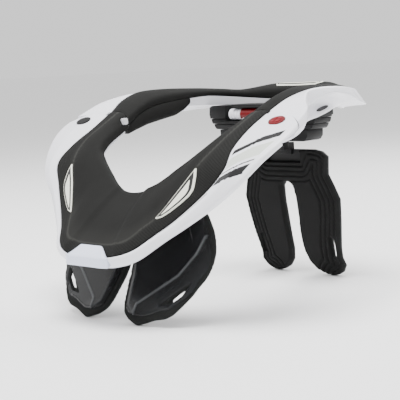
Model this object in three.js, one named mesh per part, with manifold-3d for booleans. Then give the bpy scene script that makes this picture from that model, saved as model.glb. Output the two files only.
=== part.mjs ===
// Motocross neck brace: a two-part collar on two chest plates and a two-legged back strut.
// Millimetres, +Z up, the wearer faces -Y, the wearer's left is +X. The brace stands on its four feet at z = 0.
import * as THREE from 'three';
import { mergeVertices } from 'three/addons/utils/BufferGeometryUtils.js';
import Module from 'manifold-3d';

const wasm = await Module();
wasm.setup();

// Driving dimensions
const halfWidth = 150; // centre to the outer edge of the side lugs
const halfLength = 155; // centre to the badge in front and to the shell behind
const standHeight = 198; // floor to the top of the rear table

// Places are in 150ths of halfWidth, 155ths of halfLength and 198ths of standHeight, here and in the tables
const grid = { x: 150, y: 155, z: 198 };
const across = (x) => (x / grid.x) * halfWidth;
const along = (y) => (y / grid.y) * halfLength;
const upward = (z) => (z / grid.z) * standHeight;
const place = (x, y, z) => new THREE.Vector3(across(x), along(y), upward(z));

const gap = 0.35; // between pieces that touch
const padLip = 10; // depth of the padding at the neck edge
const padEdge = 5; // depth of the padding at its outer edge
const padCrown = 2.2; // roundness of the padding
const frameWall = 4.5; // thickness of the tray under the padding
const frameBulge = 1.4; // outward bulge of the white side face
const rimWall = 4.5; // thickness of the front frame at its outer edge

// Side joints
const lapOffset = across(125); // centre to the hinge and to the release button
const lapForward = along(37); // hinge and button lie this far in front of the centre
const lapHeight = upward(165); // height of the lap plane there
const drawnPitch = THREE.MathUtils.degToRad(27); // rise of the lap plane to the rear at the drawn sizes
const lapPitch = Math.atan2(upward(Math.sin(drawnPitch)), along(Math.cos(drawnPitch)));
const lugBack = 13; // rear end of the lug behind the hinge
const lugOut = halfWidth - lapOffset - 0.5; // outer edge of the lug beside the hinge
const tongueRadius = 19.5;
const tongueThick = 7;
const pocketFront = 26; // the thick front arm ends this far in front of the hinge
const openAngle = 30; // degrees the front half opens
const hingePinRadius = 5;
const capLong = 8; // half length of the oval button and cap
const capShort = 6.6; // half width of the oval button and cap
const capThick = 2.4;
const buttonTravel = 1.8;
const seamForward = along(22.8); // the padding is split here

// Front
const badgeHalf = across(27); // half width of the badge
const badgeLow = upward(52.6); // height of its lower edge
const insertLift = 2; // thickness of the light inserts
const rearInsertLift = 0.7; // and of the one on the rear table

// Shoulder pads
const liningThick = 5; // where they line the inner wall

// Chest plates
const plateThick = 3;
const chestPadThick = 8;
const chestCurve = 0.0004; // how fast they wrap round the chest

// Rear carriage and strut
const carriageFront = along(82);
const carriageDepth = 27;
const footHalf = across(45); // half width of the carriage's foot under the rear of the ring
const footBack = along(141);
const footHigh = upward(173.5);
const stack = { box: upward(141.5), tray: upward(164), top: upward(177) }; // heights in the carriage
const recessHalf = across(47); // half width of the recess for the adjuster
const recessDepth = 14;
const recessLow = upward(161);
const tabHalf = across(39); // half width of the cover over the adjuster
const tabLow = upward(174.8);
const adjusterRadius = 5.5;
const adjusterHeight = upward(168);
const adjusterBehind = 7.5; // adjuster's axis behind the carriage's front
const shaftHalf = across(45); // half length of the adjuster's shaft
const shaftCore = 3; // its radius inside the sleeve
const sleeveHalf = across(29); // half length of the red sleeve
const strutPivotY = along(98);
const strutPivotZ = upward(136);
const barrelRadius = 4;
const barrelHalf = 13;
const earThick = 4.5;
const pinRadius = 2;
const strutPlate = 3;
const strutPad = 6;
const padNotchHalf = across(22); // the strut's padding is cut away under the hinge
const padNotchLow = upward(118);
const facet = { chest: 24, strut: 40 }; // longest edges on the curved plates

// Front half, from the middle to the seam: neck edge, crease of the padding, outer edge of the padding, frame edge
const frontRows = {
  //       x     y     z
  neck: [
    [0, -94, 115], [15, -93, 116], [27, -90, 120], [37, -86.5, 126.5], [46, -84, 133],
    [57, -80, 140.5], [66, -73, 148], [71.5, -58, 157], [75, -40, 164.5], [77.5, -21, 172],
  ],
  crease: [
    [0, -144.5, 73], [22, -143.5, 73.5], [37, -140, 76], [47, -129.5, 85.5], [55.6, -118.5, 95],
    [68, -105, 115.5], [81, -91.5, 137], [87, -71, 153.5], [88, -47, 166.5], [89.5, -21, 179.5],
  ],
  edge: [
    [0, -153, 62], [26, -151.2, 62.4], [47, -142.5, 68], [61.5, -128, 80.5], [76, -115.5, 93.2],
    [96, -100, 114.5], [108, -89.5, 133], [104.5, -74, 148.5], [101.5, -48, 164], [103.7, -21, 178.5],
  ],
  rim: [
    [0, -149.8, 54.6], [28, -148.6, 55.4], [50, -142.8, 61.5], [66, -129.5, 74], [83, -117, 87],
    [105, -102.5, 104], [125, -92.5, 122], [139, -76, 142], [149.5, -50, 162], [143, -21, 178.5],
  ],
};

// Rear half, from in front of the lap joint to the middle
const rearRows = {
  //       x     y     z
  neck: [
    [75, -43, 163], [77.5, -21, 172], [80, -5, 180], [82, 14, 187], [82, 35, 191],
    [80, 58, 192], [75, 84, 192], [66, 106, 190.5], [51, 124, 189], [27, 131, 190.5], [0, 133, 191],
  ],
  neckLow: [
    [77, -43, 155], [80, -21, 164], [82, -5, 173], [83, 14, 179.5], [82, 35, 183],
    [80, 58, 185], [75.5, 84, 187], [66.5, 106.5, 185.5], [51.5, 124.5, 183], [27, 131.5, 181], [0, 133.5, 180],
  ],
  crest: [
    [88, -43, 169], [90, -21, 180], [94, -5, 189], [97.5, 14, 195.5], [97, 35, 197],
    [94, 58, 196.8], [88, 84, 195.5], [79, 107, 193.5], [66, 129, 191.5], [35, 149, 196.6], [0, 149.6, 196.6],
  ],
  edge: [
    [101.5, -43, 167.5], [103.7, -21, 178.5], [108, -5, 187], [112, 14, 192.6], [111, 35, 194.6],
    [108, 58, 194.6], [101, 84, 193.4], [90.5, 107.5, 191.4], [74, 131, 190], [37.5, 151, 188.6], [0, 152, 188.4],
  ],
  ridge: [
    [148, -43, 167.5], [143, -21, 178.5], [131.5, -8, 187], [119, 12, 193], [114.8, 35, 194.6],
    [111.6, 58, 194.4], [104.6, 84.5, 193], [94, 109, 190.6], [77, 133.5, 189], [39, 151.5, 187.6], [0, 153.8, 187.4],
  ],
  flange: [
    [150, -45, 161], [146, -25, 170], [134.5, -8, 178], [121, 12, 180], [117.5, 35, 186.8],
    [114, 58, 188.6], [108.5, 85, 185], [101, 111, 178.5], [85.5, 139.5, 173.2], [42, 152.2, 173], [0, 155, 173],
  ],
  rootHigh: [
    [149.5, -45.5, 159.5], [145.5, -26, 167], [133, -9, 175], [117, 12, 178], [107, 35, 184.6],
    [104, 58, 186.4], [99, 82, 182.6], [93, 105, 177.2], [78, 129, 172.7], [39, 147, 172.6], [0, 148, 172.6],
  ],
  rootLow: [
    [149.2, -46, 158.5], [145, -27, 164.5], [132.5, -10, 169.5], [116, 11, 172.5], [105, 35, 177.4],
    [101.5, 58, 178], [96, 80, 177.5], [89, 102, 176.4], [75, 126.5, 172.4], [37, 144.5, 172.3], [0, 145.5, 172.3],
  ],
  lip: [
    [148.8, -46.5, 157.5], [144, -29, 160.8], [132, -11, 164.6], [121, 10, 167], [113, 35, 169.2],
    [105, 58, 172], [95, 79, 174.5], [86, 99.5, 175.4], [72, 124, 172.1], [35, 142, 172], [0, 143, 172],
  ],
  inner: [
    [82, -43, 152], [84, -21, 160.5], [86, -5, 168], [87, 14, 173], [85.5, 35, 176],
    [82.5, 58, 177.5], [76.5, 84.5, 177.5], [67, 107, 176.5], [52, 125, 175], [27.5, 132.2, 174], [0, 134.2, 173],
  ],
};

// Shoulder pads under the rear arms, on the +X side
const shoulderRows = [
  { y: -22.3, xIn: 81, xOut: 96, zLow: 157 },
  { y: -17, xIn: 80, xOut: 101, zLow: 155.5 },
  { y: -7, xIn: 80.5, xOut: 104, zLow: 158.5 },
  { y: 10, xIn: 81, xOut: 106, zLow: 163 },
  { y: 30, xIn: 80.5, xOut: 103, zLow: 166.5 },
  { y: 48, xIn: 79.5, xOut: 99, zLow: 169.5 },
  { y: 59, xIn: 79, xOut: 88.5, zLow: 174 },
  { y: 65, xIn: 78.6, xOut: 85, zLow: 178 },
];

// Chest plate and its padding, seen from in front, on the +X side
const plateOutline = [
  [3.5, 66], [5.4, 50], [8.2, 36.7], [12, 21], [15, 12.5], [20.5, 9.3], [28, 8.4], [38.5, 8], [46, 10.4], [55.5, 14],
  [66, 16], [72.5, 22], [79.5, 26.4], [84, 32.2], [86, 39.5], [91.5, 47], [93.5, 55.4], [93, 66], [90, 77], [86, 88],
  [79, 99], [68, 118], [54, 116], [20, 105], [3.5, 101],
];
const chestPadOutline = [
  [2.5, 66], [2.5, 48], [4, 34], [8.5, 15.4], [12, 8.5], [20, 3.6], [30, 0.5], [34.6, 0], [41, 2], [51, 5.5], [62, 7.4],
  [68.5, 11], [75, 18], [82, 26.5], [84.5, 32], [90, 40], [93.5, 50], [94.5, 62], [93, 73], [90, 82], [85, 92],
  [79, 100], [67, 112], [54, 110], [20, 94], [2.5, 91],
];
const chestSlot = [[52.5, 18.5], [64, 19.5], [74, 27], [78, 37.5], [67, 29.5], [60, 24.5]];
// Front of the chest plates: how far behind the centre they lie at each height
const chestLean = [
  { z: 0, y: -133.5 }, { z: 20, y: -121.5 }, { z: 40, y: -109 }, { z: 60, y: -101 }, { z: 80, y: -97.5 },
  { z: 100, y: -96 }, { z: 125, y: -95 },
];

// One leg of the strut with half of its head, seen from in front, on the +X side
const strutOutline = [
  [0, 131], [40, 131], [49, 129], [54.5, 124], [51, 106], [55.5, 95], [60.5, 81], [58, 60], [52.5, 30], [51.5, 20],
  [53.5, 12], [48.5, 4.5], [42, 1], [36.7, 0], [29, 1.4], [20, 6], [13, 14], [9.5, 26], [9, 40], [10, 79], [8.4, 93],
  [5, 97], [0, 98],
];
const strutSlot = [[42.5, 21], [47.2, 20], [48.6, 40.5], [44, 41.5]];
// Front of the strut's padding
const strutLean = [
  { z: 0, y: 138.5 }, { z: 21.4, y: 131 }, { z: 41.2, y: 125.5 }, { z: 80.8, y: 119 }, { z: 131, y: 108.5 },
];

// Ends of the stacked layers, seen from in front, on the +X side
const trayEnd = [[65, 177], [68.5, 175], [69, 168], [68, 164]];
const upperEnd = [[68, 163.65], [67, 160], [66, 158.5]];
const lowerEnd = [[65, 158.15], [63.5, 155], [61.5, 153]];
const boxEnd = [[57, 152.65], [56.5, 146], [54, 142.5], [51, 141.5]];

// Materials
const paint = (color, roughness, metalness = 0) => new THREE.MeshStandardMaterial({ color, roughness, metalness });
const white = paint(0xf2f1f6, 0.28);
const badgeWhite = paint(0xdfe4f2, 0.25);
const foam = paint(0x3a3a38, 0.9);
const chestFoam = paint(0x3c3e3c, 0.92);
const strutFoam = paint(0x2e2e2e, 0.9);
const gloss = paint(0x17181a, 0.18);
const nylon = paint(0x232324, 0.5);
const cream = paint(0xeeeee0, 0.4);
const red = paint(0xc81e2d, 0.3);

// Solids
function toManifold(geometry) {
  const bare = geometry.clone();
  bare.deleteAttribute('normal');
  bare.deleteAttribute('uv');
  const merged = mergeVertices(bare, 1e-4);
  return new wasm.Manifold(new wasm.Mesh({
    numProp: 3,
    vertProperties: new Float32Array(merged.attributes.position.array),
    triVerts: new Uint32Array(merged.index.array),
  }));
}

function fromManifold(solid) {
  const mesh = solid.getMesh();
  const geometry = new THREE.BufferGeometry();
  geometry.setAttribute('position', new THREE.BufferAttribute(new Float32Array(mesh.vertProperties), 3));
  geometry.setIndex(new THREE.BufferAttribute(new Uint32Array(mesh.triVerts), 1));
  return geometry;
}

const brace = new THREE.Group();

function add(name, geometry, material) {
  const shown = geometry.index ? geometry.toNonIndexed() : geometry;
  shown.computeVertexNormals();
  const mesh = new THREE.Mesh(shown, material);
  mesh.name = name;
  brace.add(mesh);
}

function signedVolume(points, index) {
  let sum = 0;
  for (let i = 0; i < index.length; i += 3) {
    sum += points[index[i]].dot(new THREE.Vector3().crossVectors(points[index[i + 1]], points[index[i + 2]]));
  }
  return sum / 6;
}

// A closed solid through sections that are outlines with the same number of points
function loft(sections) {
  const count = sections[0].length;
  const points = sections.flat();
  const index = [];
  for (let i = 0; i + 1 < sections.length; i += 1) {
    for (let j = 0; j < count; j += 1) {
      const k = (j + 1) % count;
      const [a, b, c, d] = [i * count + j, i * count + k, (i + 1) * count + k, (i + 1) * count + j];
      index.push(a, b, c, a, c, d);
    }
  }
  const first = 0;
  const last = (sections.length - 1) * count;
  for (const start of [first, last]) {
    const ring = points.slice(start, start + count);
    const normal = new THREE.Vector3();
    ring.forEach((p, j) => normal.add(new THREE.Vector3().crossVectors(p, ring[(j + 1) % count])));
    const flat = new THREE.Quaternion().setFromUnitVectors(normal.normalize(), new THREE.Vector3(0, 0, 1));
    const shape = ring.map((p) => p.clone().applyQuaternion(flat)).map((p) => new THREE.Vector2(p.x, p.y));
    for (const [a, b, c] of THREE.ShapeUtils.triangulateShape(shape, [])) {
      const turn = (shape[b].x - shape[a].x) * (shape[c].y - shape[a].y)
        - (shape[b].y - shape[a].y) * (shape[c].x - shape[a].x);
      const same = turn > 0 ? [a, b, c] : [a, c, b];
      const order = start === last ? same : [same[0], same[2], same[1]];
      index.push(...order.map((j) => start + j));
    }
  }
  if (signedVolume(points, index) < 0) {
    for (let i = 0; i < index.length; i += 3) [index[i + 1], index[i + 2]] = [index[i + 2], index[i + 1]];
  }
  const geometry = new THREE.BufferGeometry().setFromPoints(points);
  geometry.setIndex(index);
  return geometry;
}

// A rail that runs from the -X side over the middle to the +X side
function mirroredRail(rows, middleFirst) {
  const half = (middleFirst ? rows : [...rows].reverse()).map((row) => place(...row));
  const other = half.slice(1).reverse().map((p) => new THREE.Vector3(-p.x, p.y, p.z));
  return new THREE.CatmullRomCurve3([...other, ...half], false, 'catmullrom', 0.5);
}

function railSet(table, middleFirst) {
  return Object.fromEntries(Object.entries(table).map(([name, rows]) => [name, mirroredRail(rows, middleFirst)]));
}

const frontRails = railSet(frontRows, true);
const rearRails = railSet(rearRows, false);
const frontSteps = 44;
const rearSteps = 46;
const mix = (a, b, t) => new THREE.Vector3().lerpVectors(a, b, t);
const shift = (p, direction, distance) => p.clone().addScaledVector(direction, distance);

// What every front section is worked out from
function frontFrameAt(u) {
  const neck = frontRails.neck.getPoint(u);
  const crease = frontRails.crease.getPoint(u);
  const edge = frontRails.edge.getPoint(u);
  const rim = frontRails.rim.getPoint(u);
  const along = frontRails.crease.getTangent(u);
  const inward = mix(neck, edge, 0).sub(edge).normalize();
  const down = new THREE.Vector3().crossVectors(inward, along).normalize();
  if (down.z > 0) down.negate();
  return { neck, crease, edge, rim, inward, down };
}

function frontPadSection(u) {
  const { neck, crease, edge, inward, down } = frontFrameAt(u);
  const neckLow = shift(neck, down, padLip);
  const edgeLow = shift(shift(edge, down, padEdge - gap), inward, gap);
  return [
    neckLow,
    shift(neck, down, padCrown * 1.4),
    shift(neck, inward, -padCrown),
    shift(mix(neck, crease, 0.5), down, -padCrown),
    crease,
    shift(mix(crease, edge, 0.5), down, -padCrown * 0.4),
    shift(edge, inward, gap),
    edgeLow,
    mix(edgeLow, neckLow, 0.5),
  ];
}

function frontFrameSection(u) {
  const { neck, edge, rim, inward, down } = frontFrameAt(u);
  const out = shift(mix(edge, rim, 0.5), down, -frameBulge);
  const edgeLow = shift(edge, down, padEdge);
  const neckLow = shift(shift(neck, down, padLip + gap), inward, -frameWall);
  const middle = shift(mix(edgeLow, neckLow, 0.5), down, gap);
  return [
    edge,
    out,
    rim,
    shift(rim, down, rimWall),
    shift(edgeLow, down, frameWall * 1.6),
    shift(middle, down, frameWall),
    shift(neckLow, down, frameWall),
    neckLow,
    middle,
    edgeLow,
  ];
}

function rearAt(u) {
  return Object.fromEntries(Object.entries(rearRails).map(([name, rail]) => [name, rail.getPoint(u)]));
}

const up = new THREE.Vector3(0, 0, 1);

function rearPadSection(u) {
  const { neck, neckLow, crest, edge } = rearAt(u);
  const inward = mix(neck, edge, 0).sub(edge).setZ(0).normalize();
  const edgeLow = shift(shift(edge, up, gap - padEdge), inward, gap);
  const low = shift(neckLow, up, gap);
  return [
    low,
    neck,
    shift(mix(neck, crest, 0.5), up, padCrown * 0.8),
    crest,
    shift(mix(crest, edge, 0.5), up, padCrown * 0.4),
    shift(edge, inward, gap),
    edgeLow,
    shift(mix(edgeLow, low, 0.5), up, gap),
  ];
}

function rearFrameSection(u) {
  const r = rearAt(u);
  const edgeLow = shift(r.edge, up, -padEdge);
  return [
    r.edge, r.ridge, r.flange, r.rootHigh, r.rootLow, r.lip,
    shift(mix(r.lip, r.inner, 0.12), up, -2), shift(mix(r.lip, r.inner, 0.55), up, 1.5),
    r.inner, r.neckLow, mix(edgeLow, r.neckLow, 0.5), edgeLow,
  ];
}

const sectionsOf = (section, steps, from = 0, to = 1) =>
  Array.from({ length: steps + 1 }, (_, i) => section(from + ((to - from) * i) / steps));

// Lap joints: solids drawn in the lap plane, u outward, v rearward, w up
function lapSolid(outline, low, high, side, turn = 0) {
  const shape = new THREE.Shape(outline.map(([u, v]) => new THREE.Vector2(u, v)));
  const geometry = new THREE.ExtrudeGeometry(shape, { depth: high - low, bevelEnabled: false });
  geometry.translate(0, 0, low);
  return lapPlaced(geometry, side, turn);
}

function lapPlaced(geometry, side, turn = 0) {
  geometry.rotateZ(THREE.MathUtils.degToRad(turn));
  if (side < 0) {
    geometry.scale(-1, 1, 1);
    const index = geometry.index ? geometry : mergeVertices(geometry);
    const order = index.index.array;
    for (let i = 0; i < order.length; i += 3) [order[i + 1], order[i + 2]] = [order[i + 2], order[i + 1]];
    geometry = index;
  }
  geometry.rotateX(lapPitch);
  geometry.translate(side * lapOffset, -lapForward, lapHeight);
  return toManifold(geometry);
}

function ellipse(long, short, steps = 24) {
  return Array.from({ length: steps }, (_, i) => {
    const angle = (i / steps) * 2 * Math.PI;
    return [long * Math.cos(angle), short * Math.sin(angle)];
  });
}

// The lug's rear boundary, from the neck side to the outer side
const lugBoundary = (offset) => [
  [-70, lugBack + offset], [1, lugBack + offset], [7, lugBack - 3 + offset], [15, lugBack - 7.5 + offset],
  [lugOut - 2 + offset, lugBack - 14 + offset], [lugOut + offset, lugBack - 18 + offset],
];
const aboveLap = 40;
const belowLap = 40;
const farOut = 45;
const lugReach = (offset) => [...lugBoundary(offset), [lugOut + offset, -farOut], [-70, -farOut]];
const lugGap = 0.5;
const turnStep = 7.5; // degrees between the positions the rear half is cleared for

function frontFrame() {
  let solid = toManifold(loft(sectionsOf(frontFrameSection, frontSteps)));
  for (const side of [-1, 1]) {
    const innerWall = -tongueRadius - 5 * gap;
    const pocket = [[innerWall, -pocketFront], [farOut, -pocketFront], [farOut, farOut], [innerWall, farOut]];
    solid = solid.subtract(lapSolid(pocket, -belowLap, gap, side));
    const behind = [...lugBoundary(0), [farOut, lugBack - 18], [farOut, farOut], [-70, farOut]];
    solid = solid.subtract(lapSolid(behind, -belowLap, aboveLap, side));
  }
  solid = solid.subtract(lapSolid(ellipse(hingePinRadius + gap, hingePinRadius + gap), -belowLap, aboveLap, -1));
  for (const side of [-1, 1]) {
    solid = solid.subtract(lapSolid(ellipse(capLong + gap, capShort + gap), capFloor(side), aboveLap, side));
  }
  return beforeSeam(solid.subtract(badgeSolid(gap)));
}

// What the front half keeps: all that lies in front of the seam
function beforeSeam(solid) {
  const [wide, high] = [2 * halfWidth, 2 * standHeight];
  return solid.subtract(box(-wide, wide, -seamForward - gap / 2, 2 * halfLength, 0, high));
}

const lugTop = 6.4; // height of the lug's face over the lap plane at the button
const capFloor = (side) => (side < 0 ? lugTop - capThick - gap : lugTop - capThick - buttonTravel - gap);

function rearFrame() {
  let solid = toManifold(loft(sectionsOf(rearFrameSection, rearSteps)));
  const innerHalf = lapOffset - tongueRadius;
  solid = solid.subtract(box(-innerHalf, innerHalf, -2 * halfLength, -seamForward + gap / 2, 0, 2 * standHeight));
  const clearOfTurn = [[-farOut, -farOut], [farOut, -farOut], [farOut, -5], [-farOut, -5]];
  solid = solid.subtract(lapSolid(clearOfTurn, -belowLap, aboveLap, -1));
  for (const side of [-1, 1]) {
    const turns = side < 0 ? Array.from({ length: openAngle / turnStep + 1 }, (_, i) => i * turnStep) : [0];
    for (const turn of turns) {
      solid = solid.subtract(lapSolid(lugReach(lugGap), -gap, aboveLap, side, turn));
    }
    solid = solid.add(lapSolid(ellipse(tongueRadius, tongueRadius), -tongueThick, -gap, side));
  }
  return solid.add(lapSolid(ellipse(hingePinRadius, hingePinRadius), -tongueThick, capFloor(-1) - gap, -1));
}

function capSolid(side) {
  return lapSolid(ellipse(capLong, capShort), lugTop - capThick, lugTop + 0.4, side);
}

// The badge over the middle of the front rim
function badgeSolid(extra) {
  const high = upward(61.5);
  const back = along(143.5);
  const profile = [
    [-halfLength - extra, badgeLow - extra], [-halfLength - extra, high + extra], [-back - 2, high + 9.5 + extra],
    [-back + extra, high + 7], [-back + extra, badgeLow - extra],
  ];
  const half = badgeHalf + extra;
  const taper = 3.5;
  const stations = [
    { x: -half, lift: -4 }, { x: -half + taper * 2, lift: 0 }, { x: half - taper * 2, lift: 0 }, { x: half, lift: -4 },
  ];
  return toManifold(loft(stations.map(({ x, lift }) => profile.map(([y, z], i) => new THREE.Vector3(
    x, y + (i < 2 ? -lift * 0.55 : 0), z + (i === 2 || i === 3 ? lift : 0),
  )))));
}

// Light inserts on the side panels of the bib
function insertSolid(side) {
  const [from, to] = [3.9, 5.85].map((row) => 0.5 + (side * row) / (2 * (frontRows.neck.length - 1)));
  const spread = [
    { t: 0, near: 0.02, far: 0.1 }, { t: 0.2, near: 0.02, far: 0.36 }, { t: 0.4, near: 0.03, far: 0.52 },
    { t: 0.56, near: 0.04, far: 0.6 }, { t: 0.8, near: 0.04, far: 0.36 }, { t: 1, near: 0.04, far: 0.16 },
  ];
  return loft(spread.map(({ t, near, far }) => {
    const { crease, edge, down } = frontFrameAt(from + (to - from) * t);
    const surface = (s) => shift(mix(crease, edge, s), down, -padCrown * 0.8 * Math.min(s, 1 - s) - gap);
    return [surface(near), surface((near + far) / 2), surface(far),
      shift(surface(far), down, -insertLift * 0.6), shift(surface((near + far) / 2), down, -insertLift),
      shift(surface(near), down, -insertLift * 0.6)];
  }));
}

function rearInsertSolid() {
  const half = 0.0235;
  const stations = [-1, -0.8, 0, 0.8, 1].map((share) => 0.5 + half * 2 * share);
  return loft(stations.map((u, i) => {
    const { neck, crest } = rearAt(u);
    const narrow = i === 0 || i === stations.length - 1 ? 0.3 : 0;
    const surface = (s) => shift(mix(neck, crest, s), up, padCrown * 1.6 * Math.min(s, 1 - s) + gap * 1.6);
    const [low, high] = [0.3 + narrow, 0.92];
    return [surface(low), surface((low + high) / 2), surface(high), shift(surface(high), up, rearInsertLift),
      shift(surface((low + high) / 2), up, rearInsertLift), shift(surface(low), up, rearInsertLift)];
  }));
}

// Shoulder pads line the inner wall of the rear frame and its underside
function shoulderPad(side, extra = 0) {
  const sections = shoulderRows.map((row) => {
    const u = stationAt(row.y);
    const { inner, lip, neckLow } = rearAt(u);
    const { x: xIn, z: low } = place(row.xIn, 0, row.zLow);
    const slope = (lip.z - inner.z) / (lip.x - inner.x);
    const roof = (x) => Math.max(inner.z + slope * (x - inner.x) + 0.6, low + 4);
    const xOut = place(row.xOut, 0, 0).x;
    const top = neckLow.z - 0.1;
    const lining = neckLow.x + liningThick;
    const outline = [
      [neckLow.x - 0.2, top], [xIn, top + (low - top) * 0.35], [xIn + 0.4, low + 3], [xIn + 4.5, low],
      [(xIn + xOut) / 2 + 2, low + 0.4], [xOut - 2, low + 2], [xOut, low + 3],
      [xOut, roof(xOut)], [lining, roof(lining)], [lining, top],
    ];
    return outline.map(([x, z]) => new THREE.Vector3(side * (x + extra), place(0, row.y, 0).y, z + extra));
  });
  if (extra) {
    const moved = (section, y) => section.map((p) => p.clone().setY(p.y + y));
    sections.unshift(moved(sections[0], -10 * extra));
    sections.push(moved(sections[sections.length - 1], extra));
  }
  return toManifold(loft(sections));
}

function stationAt(y) {
  const target = place(0, y, 0).y;
  let [low, high] = [0.5, 1];
  for (let i = 0; i < 40; i += 1) {
    const middle = (low + high) / 2;
    if (rearRails.inner.getPoint(middle).y > target) low = middle;
    else high = middle;
  }
  return low;
}

// A slab with an outline seen from in front, between two distances behind the centre
function slab(outline, holes, front, depth) {
  const scaled = (points) => points.map(([x, z]) => place(x, 0, z)).map((p) => new THREE.Vector2(p.x, p.z));
  const shape = new THREE.Shape(scaled(outline));
  shape.holes = holes.map((hole) => new THREE.Path(scaled(hole)));
  const geometry = new THREE.ExtrudeGeometry(shape, { depth, bevelEnabled: false });
  geometry.rotateX(Math.PI / 2);
  geometry.translate(0, front + depth, 0);
  return toManifold(geometry);
}

// The same slab bent to a curved face
function facePlate(outline, holes, face, front, depth, longest) {
  return slab(outline, holes, front, depth).refineToLength(longest).warp((v) => {
    v[1] += face(v[0], v[2]);
  });
}

const both = (half) => half.add(half.mirror([1, 0, 0]));
const symmetric = (end) => [...end, ...[...end].reverse().map(([x, z]) => [-x, z])];

function leanAt(table, z) {
  const rows = table.map((row) => place(0, row.y, row.z));
  const next = Math.max(1, rows.findIndex((row) => row.z > z));
  const [a, b] = next < rows.length && rows[next].z > z ? [rows[next - 1], rows[next]] : rows.slice(-2);
  return a.y + ((b.y - a.y) * (z - a.z)) / (b.z - a.z);
}
const chestFaceAt = (x, z) => leanAt(chestLean, z) + chestCurve * x * x;
const strutFaceAt = (x, z) => leanAt(strutLean, z);

function box(x0, x1, y0, y1, z0, z1) {
  const geometry = new THREE.BoxGeometry(x1 - x0, y1 - y0, z1 - z0);
  geometry.translate((x0 + x1) / 2, (y0 + y1) / 2, (z0 + z1) / 2);
  return toManifold(geometry);
}

function crossCylinder(radius, half, y, z, sides = 20) {
  const geometry = new THREE.CylinderGeometry(radius, radius, 2 * half, sides);
  geometry.rotateZ(Math.PI / 2);
  geometry.translate(0, y, z);
  return toManifold(geometry);
}

// The light tab at the front half's end of the seam
function seamTab(side, extra = 0) {
  const [x0, x1] = side > 0 ? [across(77), across(81)] : [-across(81), -across(77)];
  return box(x0 - extra, x1 + extra, -along(31) - extra, -seamForward - gap + extra, upward(165.5) - extra,
    upward(172) + extra);
}

const bothSides = [1, -1];
const without = (solid, cutters) => cutters.reduce((rest, cutter) => rest.subtract(cutter), solid);
const largest = (solid) => solid.decompose().sort((a, b) => b.volume() - a.volume())[0];
const lowest = (solid) => solid.decompose().sort((a, b) => a.boundingBox().min[2] - b.boundingBox().min[2])[0];
const lowered = (solid) => solid.translate([0, 0, -1.4 * gap]);

const badge = badgeSolid(0);
const badgeRoom = badgeSolid(gap);
const tabRoom = bothSides.map((side) => seamTab(side, gap));
const frontShell = without(frontFrame(), tabRoom);
const frontPadding = without(beforeSeam(toManifold(loft(sectionsOf(frontPadSection, frontSteps)))), [badgeRoom, ...tabRoom]);
const rearShell = largest(without(rearFrame(), bothSides.flatMap((side) => {
  const room = shoulderPad(side, gap);
  return [room, room.translate([-side * gap, gap, -2 * gap]), shoulderPad(side)];
})));
const ahead = box(-2 * halfWidth, 2 * halfWidth, -2 * halfLength, -seamForward + gap / 2, 0, 2 * standHeight);
const rearInsert = toManifold(rearInsertSolid());
const rearPadding = largest(without(toManifold(loft(sectionsOf(rearPadSection, rearSteps))), [
  ahead, lowered(rearInsert)]));

const underFrame = [lowered(frontShell), lowered(badgeRoom), frontShell, lowered(frontPadding)];
const chestSlab = facePlate(plateOutline, [chestSlot], chestFaceAt, 0, plateThick, facet.chest);
const chestPadSlab = facePlate(chestPadOutline, [chestSlot], chestFaceAt, plateThick + gap, chestPadThick, facet.chest);
const underTheFrame = (slabSolid, side) => fromManifold(lowest(without(
  side > 0 ? slabSolid : slabSolid.mirror([1, 0, 0]), underFrame)));

const layer = (end, front, back) => slab(symmetric(end), [], front, back - front);
const carriageBack = carriageFront + carriageDepth;
const recess = box(-recessHalf, recessHalf, carriageFront - 1, carriageFront + recessDepth, recessLow, standHeight);
const cover = box(-tabHalf, tabHalf, carriageFront + 1.5, carriageBack, tabLow, stack.top + 1);
const foot = box(-footHalf, footHalf, carriageBack - 1, footBack, stack.tray, footHigh);
const tray = layer(trayEnd, carriageFront, carriageBack).subtract(recess).add(cover).add(foot)
  .subtract(lowered(rearShell)).subtract(rearShell);
const adjusterY = carriageFront + adjusterBehind;
const bore = crossCylinder(shaftCore + gap, shaftHalf, adjusterY, adjusterHeight);
const endSlice = (side) => box(
  side > 0 ? sleeveHalf + gap : -shaftHalf, side > 0 ? shaftHalf : -sleeveHalf - gap,
  adjusterY - adjusterRadius - 1, adjusterY + adjusterRadius + 1, recessLow, tabLow);
const thick = crossCylinder(adjusterRadius, shaftHalf, adjusterY, adjusterHeight);
const shaft = crossCylinder(shaftCore, shaftHalf, adjusterY, adjusterHeight)
  .add(thick.intersect(endSlice(1))).add(thick.intersect(endSlice(-1)));

const earOut = barrelHalf + gap + earThick;
const ears = both(box(barrelHalf + gap, earOut, strutPivotY - 5, strutPivotY + 5, strutPivotZ - 4.5, stack.box + 1));
const hingeBox = layer(boxEnd, carriageFront + 2, carriageBack).add(ears)
  .add(crossCylinder(pinRadius, earOut - 1, strutPivotY, strutPivotZ));
const plateFront = strutPad + gap;
const neckBack = strutFaceAt(0, strutPivotZ - 6) + plateFront + 1;
const strutBack = both(facePlate(strutOutline, [strutSlot], strutFaceAt, plateFront, strutPlate, facet.strut))
  .add(box(-barrelHalf + 1, barrelHalf - 1, strutPivotY, neckBack, strutPivotZ - 4, strutPivotZ + 2))
  .add(box(-barrelHalf + 1, barrelHalf - 1, neckBack - 3, neckBack + 2, strutPivotZ - 10, strutPivotZ + 2))
  .add(crossCylinder(barrelRadius, barrelHalf, strutPivotY, strutPivotZ))
  .subtract(crossCylinder(pinRadius + gap, earOut, strutPivotY, strutPivotZ));
const strutPadding = both(facePlate(strutOutline, [strutSlot], strutFaceAt, 0, strutPad, facet.strut))
  .subtract(box(-padNotchHalf, padNotchHalf, 0, halfLength, padNotchLow, standHeight));

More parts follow.
